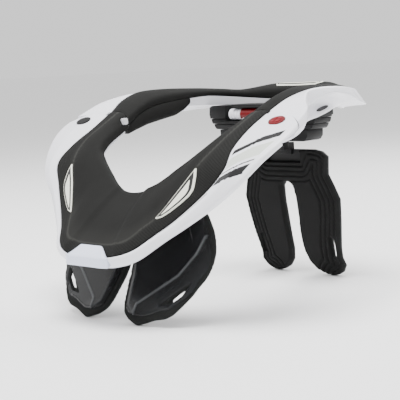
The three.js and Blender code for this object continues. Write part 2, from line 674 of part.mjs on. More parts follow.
add('front_frame', fromManifold(frontShell), white);
add('front_pad', fromManifold(frontPadding), foam);
add('front_badge', fromManifold(badge), badgeWhite);
add('rear_frame', fromManifold(rearShell), white);
add('rear_pad', fromManifold(rearPadding), foam);
add('rear_insert', fromManifold(rearInsert), cream);
for (const [name, side] of [['left', 1], ['right', -1]]) {
  add(`front_insert_${name}`, insertSolid(side), cream);
  add(`shoulder_pad_${name}`, fromManifold(shoulderPad(side)), foam);
  add(`seam_tab_${name}`, fromManifold(seamTab(side)), white);
  add(`chest_plate_${name}`, underTheFrame(chestSlab, side), gloss);
  add(`chest_pad_${name}`, underTheFrame(chestPadSlab.subtract(chestSlab.translate([0, gap, 0])), side), chestFoam);
}
add('release_button', fromManifold(capSolid(1)), red);
add('hinge_cap', fromManifold(capSolid(-1)), nylon);
add('carriage', fromManifold(tray), nylon);
add('carriage_layer_upper', fromManifold(layer(upperEnd, carriageFront + 1, carriageBack).subtract(recess)), nylon);
add('carriage_layer_lower', fromManifold(layer(lowerEnd, carriageFront + 1.5, carriageBack)), nylon);
add('adjuster_shaft', fromManifold(shaft), white);
add('adjuster_sleeve', fromManifold(crossCylinder(adjusterRadius + 0.3, sleeveHalf, adjusterY, adjusterHeight)
  .subtract(bore)), red);
add('hinge_box', fromManifold(hingeBox), nylon);
add('strut_plate', fromManifold(strutBack), nylon);
add('strut_pad', fromManifold(strutPadding), strutFoam);

export default brace;
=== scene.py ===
# Motocross neck brace. Lengths in the settings are millimetres.
# The wearer faces -Y, and +X is the wearer's left.
import math
import bmesh
import bpy
import numpy as np
from mathutils import Matrix, Vector
from mathutils.kdtree import KDTree


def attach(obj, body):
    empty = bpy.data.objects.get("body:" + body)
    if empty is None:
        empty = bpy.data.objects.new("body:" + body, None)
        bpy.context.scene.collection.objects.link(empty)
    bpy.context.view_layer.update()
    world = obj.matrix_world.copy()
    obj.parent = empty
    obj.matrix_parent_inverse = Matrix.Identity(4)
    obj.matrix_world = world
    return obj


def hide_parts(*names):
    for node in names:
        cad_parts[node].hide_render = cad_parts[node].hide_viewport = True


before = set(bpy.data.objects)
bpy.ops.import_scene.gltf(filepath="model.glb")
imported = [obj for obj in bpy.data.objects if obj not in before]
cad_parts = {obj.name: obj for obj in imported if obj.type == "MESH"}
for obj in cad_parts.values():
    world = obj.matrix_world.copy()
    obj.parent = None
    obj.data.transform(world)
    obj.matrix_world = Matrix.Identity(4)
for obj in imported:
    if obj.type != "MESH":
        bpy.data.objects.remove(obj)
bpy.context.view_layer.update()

from types import SimpleNamespace as Sizes

print("frame loaded")

shared = Sizes(
    openAngle=30,
    ringSteps=150,  # sections along each half of the collar
    slabStep=1.05,  # grid of the plates and the flat pads
    sharp=38,  # degrees past which an edge shades sharp
    weld=0.001,  # points nearer than this become one
)
gap = 0.35
mm = 0.001  # the scene itself is in metres


def railPoint(points, share):  # a smooth curve through the points, from share 0 to 1
    count = len(points) - 1
    place = min(max(share, 0), 1) * count
    i = min(int(place), count - 1)
    w = place - i
    a, b = points[i], points[i + 1]
    before = points[i - 1] if i else a * 2 - b
    after = points[i + 2] if i + 2 <= count else b * 2 - a
    v, q = (b - before) * 0.5, (after - a) * 0.5
    return (a * 2 - b * 2 + v + q) * w**3 + (b * 3 - a * 3 - v * 2 - q) * w**2 + v * w + a


def mirroredRail(rows):  # rows run from the middle to the +X side
    half = [Vector(row) for row in rows]
    return [Vector((-p.x, p.y, p.z)) for p in half[:0:-1]] + half


def softened(points, cuts, steps=3):
    # rounds each corner of a closed section; a cut is how far before the corner its curve starts
    most = 0.45  # the share of a side that one corner may take
    ring = []
    for i, p in enumerate(points):
        if not cuts[i]:
            ring.append(p.copy())
            continue
        back = points[i - 1] - p
        ahead = points[(i + 1) % len(points)] - p
        back *= min(cuts[i] / back.length, most)
        ahead *= min(cuts[i] / ahead.length, most)
        ring += [p + back * (1 - k / steps) ** 2 + ahead * (k / steps) ** 2 for k in range(steps + 1)]
    return ring


def shadeEdges(bm, angle=None):
    limit = math.radians(angle or shared.sharp)
    for face in bm.faces:
        face.smooth = True
    for edge in bm.edges:
        edge.smooth = not (len(edge.link_faces) == 2 and edge.calc_face_angle(0) > limit)


def newPiece(name, bm, body=None, material=None, angle=None, outward=True):
    if outward:
        bmesh.ops.recalc_face_normals(bm, faces=bm.faces[:])
    shadeEdges(bm, angle)
    bmesh.ops.scale(bm, vec=(mm,) * 3, verts=bm.verts[:])
    mesh = bpy.data.meshes.new(name)
    bm.to_mesh(mesh)
    bm.free()
    piece = bpy.data.objects.new(name, mesh)
    bpy.context.scene.collection.objects.link(piece)
    if body:
        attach(piece, body)
    if material:
        mesh.materials.append(material)
    return piece


def loft(rings):  # sections with the same number of points, closed at both ends
    bm = bmesh.new()
    ring = [bm.verts.new(p) for p in rings[0]]
    edges = list(bm.faces.new(ring).edges)
    for points in rings[1:]:
        made = bmesh.ops.extrude_edge_only(bm, edges=edges)["geom"]
        fresh = {v for v in made if isinstance(v, bmesh.types.BMVert)}
        ring = [next(e.other_vert(v) for e in v.link_edges if e.other_vert(v) in fresh) for v in ring]
        for v, p in zip(ring, points):
            v.co = p
        edges = [e for e in made if isinstance(e, bmesh.types.BMEdge) and all(v in fresh for v in e.verts)]
    bm.faces.new(ring)
    return bm


def prism(outline, low, high, matrix=Matrix()):  # an outline in X and Y raised along Z
    bm = bmesh.new()
    face = bm.faces.new([bm.verts.new((x, y, low)) for x, y in outline])
    made = bmesh.ops.extrude_face_region(bm, geom=[face], use_keep_orig=True)["geom"]
    raised = [v for v in made if isinstance(v, bmesh.types.BMVert)]
    bmesh.ops.translate(bm, vec=(0, 0, high - low), verts=raised)
    bmesh.ops.transform(bm, matrix=matrix, verts=bm.verts[:])
    return bm


def block(low, high):
    corners = [(low[0], low[1]), (high[0], low[1]), (high[0], high[1]), (low[0], high[1])]
    return prism(corners, low[2], high[2])


def bake(piece):
    mesh = bpy.data.meshes.new_from_object(piece.evaluated_get(bpy.context.evaluated_depsgraph_get()))
    piece.modifiers.clear()
    old, piece.data = piece.data, mesh
    bpy.data.meshes.remove(old)


def cutWith(piece, tools, operation="DIFFERENCE"):
    for tool in tools:
        modifier = piece.modifiers.new("cut", "BOOLEAN")
        modifier.object, modifier.operation, modifier.solver = tool, operation, "MANIFOLD"
    bake(piece)


def discard(tools):
    for tool in tools:
        bpy.data.objects.remove(tool, do_unlink=True)


def carve(piece, cutters, operation="DIFFERENCE"):
    tools = [newPiece("cutter", cutter) for cutter in cutters]
    cutWith(piece, tools, operation)
    discard(tools)


def reshade(piece, angle=None):
    bm = bmesh.new()
    bm.from_mesh(piece.data)
    bmesh.ops.remove_doubles(bm, verts=bm.verts[:], dist=shared.weld * mm)
    shadeEdges(bm, angle)
    bm.to_mesh(piece.data)
    bm.free()


def circlePoints(long, short, count=48):
    turns = [2 * math.pi * i / count for i in range(count)]
    return [(long * math.cos(turn), short * math.sin(turn)) for turn in turns]


def rounded(outline, cut):  # an outline with softened corners, in the plane
    return [(p.x, p.y) for p in softened([Vector((x, y, 0)) for x, y in outline], [cut] * len(outline), 4)]


def insideOf(loop, points):
    a = np.array(loop)
    b = np.roll(a, -1, axis=0)
    x, y = points[:, :1], points[:, 1:2]
    crosses = (a[:, 1] > y) != (b[:, 1] > y)
    rise = np.where(b[:, 1] == a[:, 1], 1e-9, b[:, 1] - a[:, 1])
    return (crosses & (x < (b[:, 0] - a[:, 0]) * (y - a[:, 1]) / rise + a[:, 0])).sum(axis=1) % 2 == 1


def nearestOn(line, points, closed=True):  # distance to a line of points, the nearest place, and the side
    a = np.array(line, dtype=float)
    b = np.roll(a, -1, axis=0) if closed else a[1:]
    a = a if closed else a[:-1]
    run = b - a
    toPoint = points[:, None, :] - a[None]
    share = np.clip((toPoint * run).sum(-1) / (run**2).sum(-1), 0, 1)
    near = a[None] + share[..., None] * run[None]
    off = points[:, None, :] - near
    far = np.hypot(off[..., 0], off[..., 1])
    best = far.argmin(axis=1)
    rows = np.arange(len(points))
    side = np.sign(run[best, 0] * toPoint[rows, best, 1] - run[best, 1] * toPoint[rows, best, 0])
    return far[rows, best], near[rows, best], side


def smoothStep(value):
    t = np.clip(value, 0, 1)
    return t * t * (3 - 2 * t)


def gridFace(outline, holes, step):  # a fine grid that fills an outline in X and Y, its border on the outline
    loops = [outline] + holes
    corners = np.array(outline)
    margin = 0.1
    low, size = corners.min(axis=0) - margin, np.ptp(corners, axis=0) + 2 * margin
    bm = bmesh.new()
    cells = [max(4, int(math.ceil(length / step))) for length in size]
    bmesh.ops.create_grid(bm, x_segments=cells[0], y_segments=cells[1], size=0.5)
    for v in bm.verts:
        v.co = Vector((low[0] + (v.co.x + 0.5) * size[0], low[1] + (v.co.y + 0.5) * size[1], 0))
    points = np.array([v.co[:2] for v in bm.verts])
    keep = insideOf(outline, points)
    for hole in holes:
        keep &= ~insideOf(hole, points)
    bmesh.ops.delete(bm, geom=[v for v, k in zip(bm.verts[:], keep) if not k], context="VERTS")
    bmesh.ops.delete(bm, geom=[v for v in bm.verts if not v.link_faces], context="VERTS")
    border = [v for v in bm.verts if v.is_boundary]
    spots = np.array([v.co[:2] for v in border])
    choices = [nearestOn(loop, spots)[:2] for loop in loops]
    pick = np.array([c[0] for c in choices]).argmin(axis=0)
    for i, v in enumerate(border):
        v.co.x, v.co.y = choices[pick[i]][1][i]
    return bm


def reliefSlab(outline, holes, face, front, back, step):
    # a curved plate seen from in front: face(x, z) is its surface, front and back its offsets
    bm = gridFace(outline, holes, step)
    behind = bm.verts[:]
    bmesh.ops.extrude_face_region(bm, geom=bm.faces[:], use_keep_orig=True)
    hind = set(behind)
    fore = [v for v in bm.verts if v not in hind]
    for verts, offset in ((behind, back), (fore, front)):
        spots = np.array([v.co[:2] for v in verts])
        rim = np.min([nearestOn(loop, spots)[0] for loop in [outline] + holes], axis=0)
        depth = face(spots[:, 0], spots[:, 1]) + offset(spots, rim)
        for v, y in zip(verts, depth):
            v.co = Vector((v.co.x, y, v.co.y))
    return bm


def mirrorCopy(bm):
    other = bm.copy()
    bmesh.ops.scale(other, vec=(-1, 1, 1), verts=other.verts[:])
    return other


def roundEdge(rim, radius):  # how far a face falls away near its outline
    t = np.clip(1 - rim / radius, 0, 1)
    return radius * (1 - np.sqrt(1 - t * t))


# The collar: points of both halves in millimetres, from the middle to the seam, on the +X side.
frontRows = {
    "neck": [
        (0, -95.2, 113.6), (14, -93.8, 115.2), (26.5, -90.3, 119.8), (37, -87.2, 125.9),
        (46, -83.9, 132.6), (57, -79.2, 140.4), (66, -72.8, 148), (71.5, -58, 157), (75, -40, 164.5),
        (77.5, -21, 172),
    ],
    "crease": [
        (0, -144.5, 73), (22, -143.5, 73.5), (37, -140, 76), (47, -129.5, 85.5), (55.6, -118.5, 95),
        (68, -105, 115.5), (81, -91.5, 137), (87, -71, 153.5), (88, -47, 166.5), (89.5, -21, 179.5),
    ],
    "edge": [
        (0, -153, 62), (26, -151.2, 62.4), (47, -142.5, 68), (61.5, -128, 80.5), (76, -115.5, 93.2),
        (96, -100, 114.5), (108, -89.5, 133), (104.5, -74, 148.5), (101.5, -48, 164), (103.7, -21, 178.5),
    ],
    "rim": [
        (0, -149.8, 54.6), (28, -148.6, 55.4), (50, -142.8, 61.5), (66, -129.5, 74), (83, -117, 87),
        (105, -102.5, 104), (125, -92.5, 122), (139, -76, 142), (149.5, -50, 162), (143, -21, 178.5),
    ],
}
rearRows = {  # from in front of the lap joint to the middle
    "neck": [
        (75, -43, 163), (77.5, -21, 172), (80, -5, 180), (82, 14, 187), (82, 35, 191), (80, 58, 192),
        (75, 84, 192), (66, 106, 190.5), (51, 124, 189), (27, 131, 190.5), (0, 133, 191),
    ],
    "neckLow": [
        (77, -43, 155), (80, -21, 164), (82, -5, 173), (83, 14, 179.5), (82, 35, 183), (80, 58, 185),
        (75.5, 84, 187), (66.5, 106.5, 185.5), (51.5, 124.5, 183), (27, 131.5, 181), (0, 133.5, 180),
    ],
    "crest": [
        (88, -43, 169), (90, -21, 180), (94, -5, 189), (97.5, 14, 195.5), (97, 35, 197), (94, 58, 196.8),
        (88, 84, 195.5), (79, 107, 193.5), (66, 129, 191.5), (35, 149, 196.6), (0, 149.6, 196.6),
    ],
    "edge": [
        (101.5, -43, 167.5), (103.7, -21, 178.5), (108, -5, 187), (112, 14, 192.6), (111, 35, 194.6),
        (108, 58, 194.6), (101, 84, 193.4), (90.5, 107.5, 191.4), (74, 131, 190), (37.5, 151, 188.6),
        (0, 152, 188.4),
    ],
    "ridge": [
        (148, -43, 167.5), (143, -21, 178.5), (131.5, -8, 187), (119, 12, 193), (114.8, 35, 194.6),
        (111.6, 58, 194.4), (104.6, 84.5, 193), (94, 109, 190.6), (77, 133.5, 189), (39, 151.5, 187.6),
        (0, 153.8, 187.4),
    ],
    "flange": [
        (150, -45, 161), (146, -25, 170), (134.5, -8, 178), (121, 12, 180), (117.5, 35, 186.8),
        (114, 58, 188.6), (108.5, 85, 185), (101, 111, 178.5), (85.5, 139.5, 173.2), (42, 152.2, 173),
        (0, 155, 173),
    ],
    "rootHigh": [
        (149.5, -45.5, 159.5), (145.5, -26, 167), (133, -9, 175), (117, 12, 178), (107, 35, 184.6),
        (104, 58, 186.4), (99, 82, 182.6), (93, 105, 177.2), (78, 129, 172.7), (39, 147, 172.6),
        (0, 148, 172.6),
    ],
    "rootLow": [
        (149.2, -46, 158.5), (145, -27, 164.5), (132.5, -10, 169.5), (116, 11, 172.5), (105, 35, 177.4),
        (101.5, 58, 178), (96, 80, 177.5), (89, 102, 176.4), (75, 126.5, 172.4), (37, 144.5, 172.3),
        (0, 145.5, 172.3),
    ],
    "lip": [
        (148.8, -46.5, 157.5), (144, -29, 160.8), (132, -11, 164.6), (121, 10, 167), (113, 35, 169.2),
        (105, 58, 172), (95, 79, 174.5), (86, 99.5, 175.4), (72, 124, 172.1), (35, 142, 172),
        (0, 143, 172),
    ],
    "inner": [
        (82, -43, 152), (84, -21, 160.5), (86, -5, 168), (87, 14, 173), (85.5, 35, 176),
        (82.5, 58, 177.5), (76.5, 84.5, 177.5), (67, 107, 176.5), (52, 125, 175), (27.5, 132.2, 174),
        (0, 134.2, 173),
    ],
}
frontRails = {name: mirroredRail(rows) for name, rows in frontRows.items()}
rearRails = {name: mirroredRail(rows[::-1]) for name, rows in rearRows.items()}
up = Vector((0, 0, 1))

collar = Sizes(
    padLip=10,
    padEdge=5,
    padCrown=2.2,
    frameWall=4.5,
    frameBulge=1.9,
    rimWall=4.5,
    seam=-22.8,
    seamDip=1.2,  # the padding is rounded at the seam
    seamReach=2.5,
)
lap = Sizes(
    offset=125, forward=37, height=165, pitch=27, back=13, out=24.5,
    disc=19.5, discThick=7, pocketFront=26, pin=5, lugGap=0.5, turnStep=7.5, top=6.4,
    capLong=8, capShort=6.6, capThick=2.4, travel=1.8, far=45, inside=-70, clear=40,
    swing=5,  # the rear shell ends this far before the pin on the hinge side
)
badge = Sizes(
    half=27, low=52.6, high=61.5, back=143.5, front=155, taper=3.5, lift=-4,
    topShare=0.6,  # its top is narrower than its foot
    flatShare=0.74,  # its ends bend down past this share of its half width
    dip=2.2, dipInside=6, dipReach=9, dipBack=-120,  # the bib dips above it
)
tab = Sizes(inner=77, outer=81, front=-31, low=165.5, high=172, bevel=1)
softCuts = {  # how far before each corner of a section its rounding starts
    "frontPad": [1.5, 3, 3, 20, 2.2, 9, 2.2, 0, 0],
    "frontFrame": [0.8, 1.6, 2.4, 2, 3, 6, 1.5, 1.5, 0, 0],
    "rearPad": [1.5, 4, 9, 2.6, 6, 2, 0, 0],
    "rearFrame": [0.8, 2, 1.2, 2, 2.5, 1.6, 1.6, 6, 1.5, 0, 0, 0],
    "shoulder": [1.2, 3, 2.4, 2.4, 3, 1.4, 1.4, 0.5, 0, 0],
}
shoulder = Sizes(steps=60, lift=0.6, thick=4, lining=5)
shoulderRows = [  # y, inner x, outer x, lowest z
    (-22.3, 81, 96, 157), (-17, 80, 101, 155.5), (-7, 80.5, 104, 158.5), (10, 81, 106, 163),
    (30, 80.5, 103, 166.5), (48, 79.5, 99, 169.5), (59, 79, 88.5, 174), (65, 78.6, 85, 178),
]


def frontAt(u):
    at = {name: railPoint(rail, u) for name, rail in frontRails.items()}
    crease, near = frontRails["crease"], 0.001
    along = railPoint(crease, min(u + near, 1)) - railPoint(crease, max(u - near, 0))
    at["inward"] = (at["neck"] - at["edge"]).normalized()
    at["down"] = at["inward"].cross(along).normalized()
    if at["down"].z > 0:
        at["down"].negate()
    return at


def rearAt(u):
    return {name: railPoint(rail, u) for name, rail in rearRails.items()}


def mix(a, b, share):
    return a + (b - a) * share


def atSeam(y):  # how far padding is lowered beside the seam
    near = max(0, 1 - abs(y - collar.seam) / collar.seamReach)
    return collar.seamDip * near * near


def frontPadRing(u):
    a = frontAt(u)
    neck, crease, edge, inward, down = a["neck"], a["crease"], a["edge"], a["inward"], a["down"]
    crown = collar.padCrown
    neckLow = neck + down * collar.padLip
    edgeLow = edge + down * (collar.padEdge - gap) + inward * gap
    ring = softened([
        neckLow, neck + down * crown * 1.4, neck - inward * crown,
        mix(neck, crease, 0.5) - down * crown, crease,
        mix(crease, edge, 0.5) - down * crown * 0.4, edge + inward * gap - down * 0.6,
        edgeLow, mix(edgeLow, neckLow, 0.5),
    ], softCuts["frontPad"], 5)
    dip = atSeam(crease.y) + badgeDip(crease)
    return [p + down * dip for p in ring]


def badgeDip(p):  # how far the bib is lowered above the badge
    near = max(0, 1 - max(0, abs(p.x) - badge.half + badge.dipInside) / badge.dipReach)
    return badge.dip * near**2 * (3 - 2 * near) if p.y < badge.dipBack else 0


def frontFrameRing(u):
    a = frontAt(u)
    edge, rim, inward, down = a["edge"], a["rim"], a["inward"], a["down"]
    edgeLow = edge + down * collar.padEdge
    neckLow = a["neck"] + down * (collar.padLip + gap) - inward * collar.frameWall
    middle = mix(edgeLow, neckLow, 0.5) + down * gap
    wall = down * collar.frameWall
    return softened([
        edge, mix(edge, rim, 0.5) - down * collar.frameBulge, rim, rim + down * collar.rimWall,
        edgeLow + wall * 1.6, middle + wall, neckLow + wall, neckLow, middle, edgeLow,
    ], softCuts["frontFrame"], 4)


def rearPadRing(u):
    a = rearAt(u)
    neck, crest, edge = a["neck"], a["crest"], a["edge"]
    crown = collar.padCrown
    flat = Vector((neck.x - edge.x, neck.y - edge.y, 0)).normalized()
    edgeLow = edge + up * (gap - collar.padEdge) + flat * gap
    low = a["neckLow"] + up * gap
    ring = softened([
        low, neck, mix(neck, crest, 0.5) + up * crown * 0.8, crest, mix(crest, edge, 0.5) + up * crown * 0.4,
        edge + flat * gap, edgeLow, mix(edgeLow, low, 0.5) + up * gap,
    ], softCuts["rearPad"], 5)
    return [p - up * atSeam(neck.y) for p in ring]


def rearFrameRing(u):
    a = rearAt(u)
    edgeLow = a["edge"] - up * collar.padEdge
    lip, inner = a["lip"], a["inner"]
    return softened([
        a["edge"], a["ridge"], a["flange"], a["rootHigh"], a["rootLow"], lip,
        mix(lip, inner, 0.12) - up * 2, mix(lip, inner, 0.55) + up * 1.5,
        inner, a["neckLow"], mix(edgeLow, a["neckLow"], 0.5), edgeLow,
    ], softCuts["rearFrame"], 4)


def sweep(ring, steps):
    return loft([ring(i / steps) for i in range(steps + 1)])


def lapMatrix(side, turn=0):
    return (Matrix.Translation((side * lap.offset, -lap.forward, lap.height))
            @ Matrix.Rotation(math.radians(lap.pitch), 4, "X")
            @ Matrix.Diagonal((side, 1, 1, 1)) @ Matrix.Rotation(math.radians(turn), 4, "Z"))


def lapSolid(outline, low, high, side, turn=0):
    return prism(outline, low, high, lapMatrix(side, turn))


def lugBoundary(offset):  # the line between the halves in the plane of the lap, from the inside outward
    back, out = lap.back, lap.out
    return [
        (lap.inside, back + offset), (1, back + offset), (7, back - 3 + offset), (15, back - 7.5 + offset),
        (out - 2 + offset, back - 14 + offset), (out + offset, back - 18 + offset),
    ]


def lugReach(offset):
    return [*lugBoundary(offset), (lap.out + offset, -lap.far), (lap.inside, -lap.far)]


def capFloor(side):
    return lap.top - lap.capThick - gap - (lap.travel if side > 0 else 0)


def badgeBody(extra=0, steps=2, cut=0.001, fine=False):
    front, back, low, high = badge.front, badge.back, badge.low, badge.high
    profile = [
        (-front - extra, low - extra), (-front - extra, high + extra), (-back - 2, high + 9.5 + extra),
        (-back + extra, high + 7), (-back + extra, low + 4.5 - extra),
    ]
    half = badge.half + extra
    places = [(-half, 1), (-half + badge.taper * 2, 0), (half - badge.taper * 2, 0), (half, 1)]
    if fine:
        flat = badge.flatShare
        places = [(half * x, max(0, abs(x) - flat) ** 2 / (1 - flat) ** 2) for x in np.linspace(-1, 1, 41)]
    rings = []
    for x, share in places:
        lift = badge.lift * share
        corners = [
            Vector((x * (badge.topShare if i in (2, 3) else 1), y - (lift * 0.55 if i < 2 else 0),
                    z + (lift if i in (2, 3) else 0)))
            for i, (y, z) in enumerate(profile)
        ]
        rings.append(softened(corners, [cut] * 5, steps))
    return loft(rings)


def shoulderRow(y):
    rows = np.array(shoulderRows)
    return [float(np.interp(y, rows[:, 0], rows[:, i])) for i in (1, 2, 3)]


def lastWhere(holds, low, high, rounds):  # the share of a rail up to which something holds
    for _ in range(rounds):
        middle = (low + high) / 2
        low, high = (middle, high) if holds(middle) else (low, middle)
    return low


def rearStation(y):
    return lastWhere(lambda share: railPoint(rearRails["inner"], share).y > y, 0.5, 1.0, 40)


def shoulderPad(side, extra=0):  # with extra it is the room cut for the pad
    ys = [row[0] for row in shoulderRows]
    if not extra:
        ys = list(np.linspace(ys[0], ys[-1], shoulder.steps))
    rings = []
    for y in ys:
        xIn, xOut, low = shoulderRow(y)
        at = rearAt(rearStation(y))
        inner, lip, neckLow = at["inner"], at["lip"], at["neckLow"]
        slope = (lip.z - inner.z) / (lip.x - inner.x)
        top = neckLow.z + shoulder.lift
        lining = neckLow.x + shoulder.lining
        roofs = [inner.z + slope * (x - inner.x) + shoulder.lift for x in (xOut, lining)]
        roofOut, roofIn = (max(roof, low + shoulder.thick) for roof in roofs)
        outline = [
            (neckLow.x - 0.2, top), (xIn, top + (low - top) * 0.35), (xIn + 0.4, low + 3), (xIn + 4.5, low),
            ((xIn + xOut) / 2 + 2, low + 0.4), (xOut - 2, low + 2), (xOut, low + 3),
            (xOut, roofOut), (lining, roofIn), (lining, top),
        ]
        ring = [Vector((side * (x + extra), y, z + extra)) for x, z in outline]
        rings.append(ring if extra else softened(ring, softCuts["shoulder"], 3))
    if extra:
        rings.insert(0, [p - Vector((0, 10 * extra, 0)) for p in rings[0]])
        rings.append([p + Vector((0, extra, 0)) for p in rings[-1]])
    return loft(rings)


def seamTab(side, extra=0):
    x0, x1 = sorted((side * tab.inner, side * tab.outer))
    back = collar.seam - gap
    return block((x0 - extra, tab.front - extra, tab.low - extra),
                 (x1 + extra, back + extra, tab.high + extra))


class Wire:  # a node's output that can be used in sums
    def __init__(self, tree, socket):
        self.tree, self.socket = tree, socket

    def math(self, operation, other=None):
        node = self.tree.nodes.new("ShaderNodeMath")
        node.operation = operation
        for value, entry in zip((self, other), node.inputs):
            plug(self.tree, entry, value)
        return Wire(self.tree, node.outputs[0])

    def __add__(self, other):
        return self.math("ADD", other)

    def __sub__(self, other):
        return self.math("SUBTRACT", other)

    def __mul__(self, other):
        return self.math("MULTIPLY", other)

    def __gt__(self, other):
        return self.math("GREATER_THAN", other)

    def __lt__(self, other):
        return self.math("LESS_THAN", other)

    __radd__ = __add__


def plug(tree, entry, value):
    if isinstance(value, Wire):
        tree.links.new(value.socket, entry)
    elif value is not None:
        entry.default_value = value


class Paint:
    def __init__(self, name, color, roughness, coat=0.0, specular=0.5):
        self.material = bpy.data.materials.new(name)
        self.material.use_nodes = True
        self.tree = self.material.node_tree
        self.shader = self.tree.nodes["Principled BSDF"]
        self.place = self.node("TexCoord", output="Object")
        for entry, value in (("Base Color", (*color, 1)), ("Roughness", roughness), ("Coat Weight", coat),
                             ("Coat Roughness", 0.12), ("Specular IOR Level", specular)):
            self.feed(entry, value)

    def node(self, kind, settings=(), inputs=(), output=0):
        node = self.tree.nodes.new("ShaderNode" + kind)
        for name, value in dict(settings).items():
            setattr(node, name, value)
        for name, value in dict(inputs).items():
            plug(self.tree, node.inputs[name], value)
        return Wire(self.tree, node.outputs[output])

    def mark(self, name):
        return self.node("Attribute", {"attribute_name": name}, output="Fac")

    def axis(self, letter):  # the place along one axis of the piece, in metres
        return self.node("SeparateXYZ", inputs={"Vector": self.place}, output=letter)

    def noise(self, scale, detail=3):
        return self.node("TexNoise", inputs={"Vector": self.place, "Scale": scale, "Detail": detail})

    def blend(self, share, first, second):
        first, second = (color if isinstance(color, Wire) else (*color, 1) for color in (first, second))
        return self.node("Mix", {"data_type": "RGBA"}, {0: share, 6: first, 7: second}, 2)

    def feed(self, name, value):
        plug(self.tree, self.shader.inputs[name], value)

    def bump(self, height, strength):
        inputs = {"Height": height, "Strength": strength, "Distance": 0.4 * mm}
        self.feed("Normal", self.node("Bump", inputs=inputs, output="Normal"))


def between(value, low, high):
    return (value > low) * (value < high)


noiseScales = Sizes(gloss=60, grain=900, cloud=45, foam=2600)


def plasticPaint(name, color, roughness, coat, wearAndHighlight=0.06, grain=0.03, specular=0.5):
    paint = Paint(name, color, roughness, coat, specular)
    paint.feed("Roughness", roughness + (paint.noise(noiseScales.gloss) - 0.5) * wearAndHighlight)
    paint.bump(paint.noise(noiseScales.grain), grain)
    return paint


def foamNoise(name, color):  # foam, its grain and the speckle that its colour follows
    paint = Paint(name, color, 0.8, specular=0.1)
    grain = paint.noise(noiseScales.foam, 2)
    return paint, grain, paint.noise(noiseScales.cloud) * 0.7 + grain * 0.3


def foamPaint(name, color, dark=0.82, light=1.3):
    paint, grain, speckle = foamNoise(name, color)
    paint.feed("Base Color", paint.blend(speckle, [c * dark for c in color], [c * light for c in color]))
    paint.bump(grain, 0.35)
    return paint


shellWhite = (0.82, 0.82, 0.865)
shellPaint = plasticPaint("glossy white shell", shellWhite, 0.24, 0.1, specular=0.3)

graphics = Sizes(  # bars as shares of the way to the seam, their reach as shares from edge to rim
    black=((0.575, 0.618), (0.632, 0.639), (0.735, 0.762)),
    green=(0.655, 0.715),
    slant=0.15,
    pinstripe=((0.3, 0.56), (0.12, 0.17)),
    edges=(0.07, 0.86),
    ink=(0.012, 0.012, 0.013),
    light=(0.6, 0.63, 0.58),
)
barPaint = plasticPaint("glossy white shell with bars", shellWhite, 0.24, 0.1, specular=0.3)
along, across = barPaint.mark("along"), barPaint.mark("across")
slanted = along - across * graphics.slant
onFace = between(across, *graphics.edges)
stripeSpan, stripeBand = graphics.pinstripe
ink = sum(between(slanted, *bar) for bar in graphics.black) * onFace
ink = ink + between(along, *stripeSpan) * between(across, *stripeBand)
green = between(slanted, *graphics.green) * onFace
barPaint.feed("Base Color", barPaint.blend(
    ink, barPaint.blend(green, shellWhite, graphics.light), graphics.ink))

padLook = Sizes(
    # The lightest of these colours is a painted highlight along the crease of the bib.
    dark=(0.0092, 0.0092, 0.0088), light=(0.014, 0.014, 0.0134), fold=(0.03, 0.03, 0.028),
    pitch=2.0, slope=0.55, depth=0.6, shade=0.2,  # the fine ribs of the side panels
)
padPaint, padGrain, padSpeckle = foamNoise("charcoal foam", (0.0115, 0.0115, 0.011))
wave = (padPaint.axis("Z") + padPaint.axis("X") * padLook.slope) * (2 * math.pi / (padLook.pitch * mm))
ribs = wave.math("SINE") * padPaint.mark("panel")
padPaint.bump(padGrain * 0.5 + ribs * padLook.depth, 0.45)
# The foam colour is lightened along the crease: a painted highlight.
padPaint.feed("Base Color", padPaint.blend(
    padPaint.mark("fold"),
    padPaint.blend(padSpeckle - ribs * padLook.shade, padLook.dark, padLook.light),
    padLook.fold))

chestFoam = foamPaint("chest foam", (0.0115, 0.012, 0.0115))
strutFoam = foamPaint("strut foam", (0.0105, 0.0105, 0.0105))
# The plate is nearly black. Its lighter low colour is a painted reflection below the bead, and its line
# colour is a painted highlight along the bead and the bevel.
plateLook = Sizes(face=(0.0035, 0.0037, 0.0041), low=(0.012, 0.0126, 0.0136), line=(0.075, 0.078, 0.082))
platePaint = plasticPaint("black gloss plate", plateLook.face, 0.24, 0.02, 0.08, specular=0.16)
platePaint.feed("Base Color", platePaint.blend(
    platePaint.mark("line"),
    platePaint.blend(platePaint.mark("below"), plateLook.face, plateLook.low),
    plateLook.line))
nylonPaint = plasticPaint("satin black nylon", (0.009, 0.009, 0.0095), 0.48, 0.0, 0.12, 0.08, 0.16)
badgePaint = plasticPaint("bluish white badge", (0.68, 0.72, 0.87), 0.22, 0.35)
redPaint = plasticPaint("glossy red", (0.125, 0.0, 0.002), 0.35, 0.0, specular=0.25)
palePaint = plasticPaint("pale red", (0.21, 0.008, 0.016), 0.4, 0.0, specular=0.25)
tabPaint = plasticPaint("light tab", (0.62, 0.62, 0.64), 0.35, 0.1)

insertLook = Sizes(line=(1.2, 3.3), ink=(0.02, 0.02, 0.02), cream=(0.8, 0.8, 0.7))
insertPaint = plasticPaint("cream insert", insertLook.cream, 0.4, 0.0, specular=0.2)
onLine = between(insertPaint.mark("rim"), *insertLook.line)  # a line this far inside the outline
insertPaint.feed("Base Color", insertPaint.blend(onLine, insertLook.cream, insertLook.ink))

print("materials made")


def setMark(piece, name, values):  # a number for each vertex, which the materials read
    piece.data.attributes.new(name, "FLOAT", "POINT").data.foreach_set("value", values)


def setMarks(piece, names, samples):  # each vertex takes the values of the nearest sample
    tree = KDTree(len(samples))
    for i, (point, _) in enumerate(samples):
        tree.insert(point * mm, i)
    tree.balance()
    found = [samples[tree.find(v.co)[1]][1] for v in piece.data.vertices]
    for k, name in enumerate(names):
        setMark(piece, name, [row[k] for row in found])


